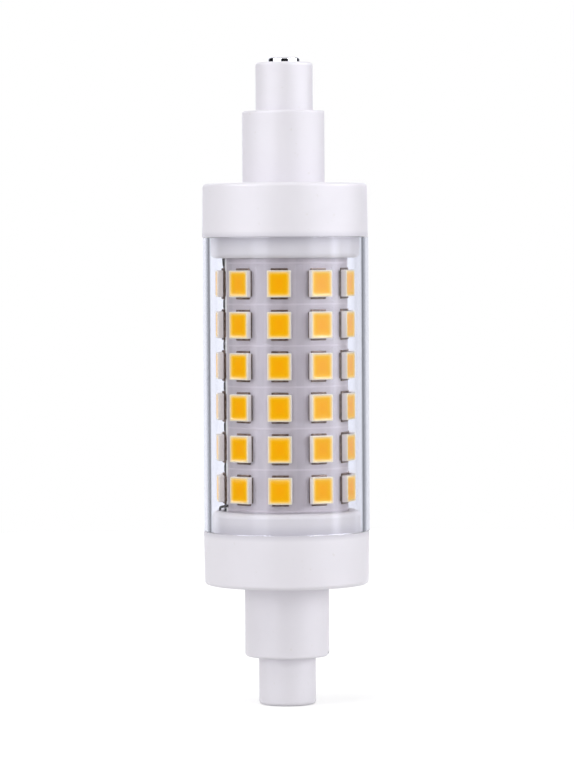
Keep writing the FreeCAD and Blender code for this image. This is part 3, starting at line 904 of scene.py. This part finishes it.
class Room(Nodes):
    """The world's nodes, with levels by azimuth and height."""

    def fade(self, value, share):
        """1 where the value is 0, and less by the share where it is 1."""
        return self.math("SUBTRACT", 1.0, self.product(value, share))

    def level(self, degrees, stops):
        """A grey level along an angle of 0 to 180 degrees."""
        greys = [(place / 180, (level,) * 3) for place, level in stops]
        return self.ramp(self.math("DIVIDE", degrees, 180.0), greys, "LINEAR")

    def tinted(self, level):
        """A level with the slight blue of the backdrop."""
        made = self.node("ShaderNodeCombineColor")
        for socket, scale in zip(made.inputs, RING_TINT):
            self.link(self.product(level, scale), socket)
        return made.outputs[0]


def ring_level(room, azimuth, z):
    """The level that gloss and glass see round the lamp, in a band about eye level.

    Azimuth is in degrees from the camera's side. The soft boxes start near eye level and brighten upward.
    """
    aside = room.math("ABSOLUTE", azimuth)
    right = room.smooth_step(azimuth, *RIGHT_HALF)

    # The backdrop, and the little that shows in the dark gap at its right end
    backdrop = room.product(
        room.level(aside, BACKDROP_LEVELS),
        room.smooth_step(aside, *BACKDROP_EDGE),
        room.fade(right, BACKDROP_RIGHT_FADE))
    gap = room.product(room.between(azimuth, *GAP_EDGES), GAP_LEVEL)

    # The table beside the lamp
    table = room.product(
        room.level(aside, TABLE_LEVELS),
        room.smooth_step(z, *TABLE_TOP),
        room.fade(right, TABLE_RIGHT_FADE))

    # The two soft boxes, with their bright upper parts
    upper = room.product(room.smooth_step(z, *UPPER_RISE), UPPER_LEVEL)
    right_level = room.total(room.product(room.smooth_step(z, *RIGHT_BOX_RISE), RIGHT_BOX_LEVEL), upper)
    right_box = room.product(room.between(azimuth, *RIGHT_BOX_EDGES), right_level)
    left_level = room.total(room.product(room.smooth_step(z, *LEFT_BOX_RISE), LEFT_BOX_LEVEL), upper)
    left_box = room.product(room.between(azimuth, *LEFT_BOX_EDGES), left_level)

    # Two narrow strips that lighten the board beside the front columns
    left_strip = room.product(room.between(azimuth, *LEFT_STRIP_EDGES), LEFT_STRIP_LEVEL)
    right_strip = room.product(room.between(azimuth, *RIGHT_STRIP_EDGES), RIGHT_STRIP_LEVEL)
    return room.total(backdrop, table, gap, right_box, left_box, left_strip, right_strip, RING_LEAST)


def add_world():
    """A white room. Gloss and glass see a ring of backdrop, table and soft boxes, with dark gaps between."""
    world = bpy.data.worlds.new("studio")
    world.use_nodes = True
    bpy.context.scene.world = world
    room = Room(world.node_tree)
    x, y, z = room.split(room.node("ShaderNodeTexCoord").outputs["Generated"])
    azimuth = room.math("DEGREES", room.math("ARCTAN2", x, room.product(y, -1.0)))

    # Overhead, and well below eye level, the room is plain
    plain = room.math("MAXIMUM", room.smooth_step(z, *OVERHEAD), room.smooth_step(z, *BELOW))
    reflected = room.mix(plain, room.tinted(ring_level(room, azimuth, z)), ROOM_PLAIN)
    paths = room.node("ShaderNodeLightPath").outputs
    direct = room.math("LESS_THAN", paths["Diffuse Depth"], 0.5)
    sharp = room.math("MAXIMUM", paths["Is Glossy Ray"], paths["Is Transmission Ray"])
    lit = room.mix(room.product(sharp, direct), (ROOM_LIGHT,) * 3, reflected)
    seen = room.mix(paths["Is Camera Ray"], lit, (1.0, 1.0, 1.0))
    room.link(seen, room.tree.nodes["Background"].inputs["Color"])


def add_lamp(name, azimuth, elevation, size, watts):
    """A soft box aimed at the middle of the lamp. Gloss and glass see the room instead."""
    data = bpy.data.lights.new(name, "AREA")
    data.shape = "SQUARE"
    data.size = size
    data.energy = watts
    lamp = bpy.data.objects.new(name, data)
    a = math.radians(azimuth)
    e = math.radians(elevation)
    away = Vector((math.sin(a) * math.cos(e), -math.cos(a) * math.cos(e), math.sin(e)))
    lamp.location = Vector(LAMP_AIM) + away * LAMP_DISTANCE
    lamp.rotation_euler = (-away).to_track_quat("-Z", "Y").to_euler()
    lamp.visible_camera = False
    lamp.visible_glossy = False
    lamp.visible_transmission = False
    bpy.context.scene.collection.objects.link(lamp)


def main():
    bpy.context.scene.view_settings.view_transform = "Standard"
    materials = make_materials()
    dress_nodes(materials)
    clear_tube(materials)
    led_columns(materials)
    seam_edge(materials)
    add_camera()
    add_floor()
    add_world()
    for lamp in LAMPS:
        add_lamp(*lamp)


main()
